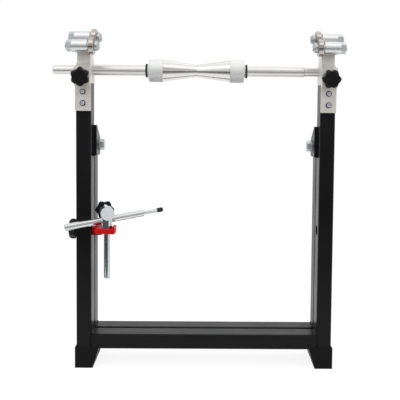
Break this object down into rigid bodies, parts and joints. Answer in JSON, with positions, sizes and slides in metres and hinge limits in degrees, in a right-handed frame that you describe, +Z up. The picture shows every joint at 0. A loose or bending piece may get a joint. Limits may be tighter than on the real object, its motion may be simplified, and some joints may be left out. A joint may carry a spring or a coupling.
{
  "type": "wheel balancing stand",
  "caption": "Folding tube-frame stand for truing and balancing motorcycle wheels, with roller heads, a shaft with centring cones and a swivelling pointer probe.",
  "frame": {"origin": "middle of the bottom of the whole stand, on the floor", "axes": "+Z up, +Y to the back where the rear frame folds out, +X to the right seen from the front"},
  "size_m": [0.3798, 0.1, 0.4473],
  "materials": {
    "powder_coat": "satin black powder coat",
    "black_plastic": "moulded black plastic",
    "black_rubber": "black rubber",
    "alloy": "bright machined alloy",
    "polished": "polished turned metal",
    "zinc": "bright zinc plate",
    "red_coat": "red anodised or painted"
  },
  "bodies": {
    "front_frame": {"front_upright_left": "powder_coat", "front_upright_right": "powder_coat", "front_rail": "powder_coat", "hinge_ear_left": "powder_coat", "hinge_ear_right": "powder_coat", "foot_front_left": "black_plastic", "foot_front_right": "black_plastic", "hinge_bolts": "zinc", "hinge_washers": "zinc", "hinge_nuts": "zinc", "roller_head_left": "alloy", "roller_head_right": "alloy", "head_screws": "zinc", "screw_washers": "black_plastic", "roller_bolts": "zinc", "roller_nuts": "zinc", "bearing_cores": "zinc"},
    "rear_frame": {"rear_leg_left": "powder_coat", "rear_leg_right": "powder_coat", "rear_rail": "powder_coat", "foot_rear_left": "black_plastic", "foot_rear_right": "black_plastic", "leg_plug_left": "black_plastic", "leg_plug_right": "black_plastic"},
    "left_front_roller": {"roller_left_front": "zinc"},
    "left_rear_roller": {"roller_left_rear": "zinc"},
    "right_front_roller": {"roller_right_front": "zinc"},
    "right_rear_roller": {"roller_right_rear": "zinc"},
    "shaft": {"balancing_shaft": "polished"},
    "left_cone": {"cone_left": "polished", "cone_ring_left": "black_rubber"},
    "right_cone": {"cone_right": "polished", "cone_ring_right": "black_rubber"},
    "left_clamp": {"clamp_knob_left": "black_plastic", "clamp_screw_left": "zinc"},
    "right_clamp": {"clamp_knob_right": "black_plastic", "clamp_screw_right": "zinc"},
    "bracket": {"probe_bracket": "red_coat", "bracket_stud": "zinc"},
    "bracket_lock": {"bracket_knob": "black_plastic"},
    "post": {"probe_post": "alloy"},
    "swivel": {"swivel_stem": "alloy", "clamp_bolt": "zinc"},
    "holder": {"rod_holder": "alloy"},
    "holder_lock": {"probe_knob": "black_plastic"},
    "rod": {"probe_rod": "alloy"},
    "probe_pointer": {"pointer": "zinc", "pointer_tip": "black_rubber"}
  },
  "joints": [
    {"name": "fold", "type": "hinge", "parent": "front_frame", "child": "rear_frame", "pos_m": [0.0119, 0.02549, 0.296], "axis": [1, 0, 0], "range_deg": [0, 60]},
    {"name": "left_front_roller_spin", "type": "hinge", "parent": "front_frame", "child": "left_front_roller", "pos_m": [-0.1346, -0.03899, 0.4238], "axis": [1, 0, 0], "continuous": true},
    {"name": "left_rear_roller_spin", "type": "hinge", "parent": "front_frame", "child": "left_rear_roller", "pos_m": [-0.1346, -0.01734, 0.4363], "axis": [1, 0, 0], "continuous": true},
    {"name": "right_front_roller_spin", "type": "hinge", "parent": "front_frame", "child": "right_front_roller", "pos_m": [0.1584, -0.03899, 0.4238], "axis": [1, 0, 0], "continuous": true},
    {"name": "right_rear_roller_spin", "type": "hinge", "parent": "front_frame", "child": "right_rear_roller", "pos_m": [0.1584, -0.01734, 0.4363], "axis": [1, 0, 0], "continuous": true},
    {"name": "shaft_spin", "type": "hinge", "parent": "front_frame", "child": "shaft", "pos_m": [0.0119, 0.00049, 0.3953], "axis": [1, 0, 0], "continuous": true},
    {"name": "left_cone_slide", "type": "slide", "parent": "shaft", "child": "left_cone", "axis": [1, 0, 0], "range_m": [-0.065, 0]},
    {"name": "right_cone_slide", "type": "slide", "parent": "shaft", "child": "right_cone", "axis": [1, 0, 0], "range_m": [0, 0.05]},
    {"name": "left_clamp_turn", "type": "hinge", "parent": "front_frame", "child": "left_clamp", "pos_m": [-0.1481, 0.00049, 0.3953], "axis": [0, -0.9659, -0.2588], "range_deg": [0, 360]},
    {"name": "right_clamp_turn", "type": "hinge", "parent": "front_frame", "child": "right_clamp", "pos_m": [0.1719, 0.00049, 0.3953], "axis": [0, -0.9659, -0.2588], "range_deg": [0, 360]},
    {"name": "bracket_swing", "type": "hinge", "parent": "front_frame", "child": "bracket", "pos_m": [-0.1381, 0.00049, 0.184], "axis": [1, 0, 0], "range_deg": [-10, 30]},
    {"name": "bracket_lock_turn", "type": "hinge", "parent": "bracket", "child": "bracket_lock", "pos_m": [-0.1631, 0.00049, 0.184], "axis": [-1, 0, 0], "range_deg": [0, 360]},
    {"name": "post_lift", "type": "slide", "parent": "bracket", "child": "post", "axis": [0, 0, 1], "range_m": [0, 0.055]},
    {"name": "head_swivel", "type": "hinge", "parent": "post", "child": "swivel", "pos_m": [-0.1141, -0.03651, 0.211], "axis": [0, 0, 1], "range_deg": [-15, 5]},
    {"name": "holder_tilt", "type": "hinge", "parent": "swivel", "child": "holder", "pos_m": [-0.1141, -0.03651, 0.211], "axis": [-0.2419, 0.9703, 0], "range_deg": [0, 20]},
    {"name": "holder_lock_turn", "type": "hinge", "parent": "swivel", "child": "holder_lock", "pos_m": [-0.1141, -0.03651, 0.211], "axis": [-0.2419, 0.9703, 0], "range_deg": [0, 360]},
    {"name": "rod_slide", "type": "slide", "parent": "holder", "child": "rod", "axis": [0.9581, 0.2389, 0.1582], "range_m": [-0.035, 0.04]},
    {"name": "pointer_slide", "type": "slide", "parent": "rod", "child": "probe_pointer", "axis": [0.9581, 0.2389, 0.1582], "range_m": [-0.012, 0.03]}
  ]
}
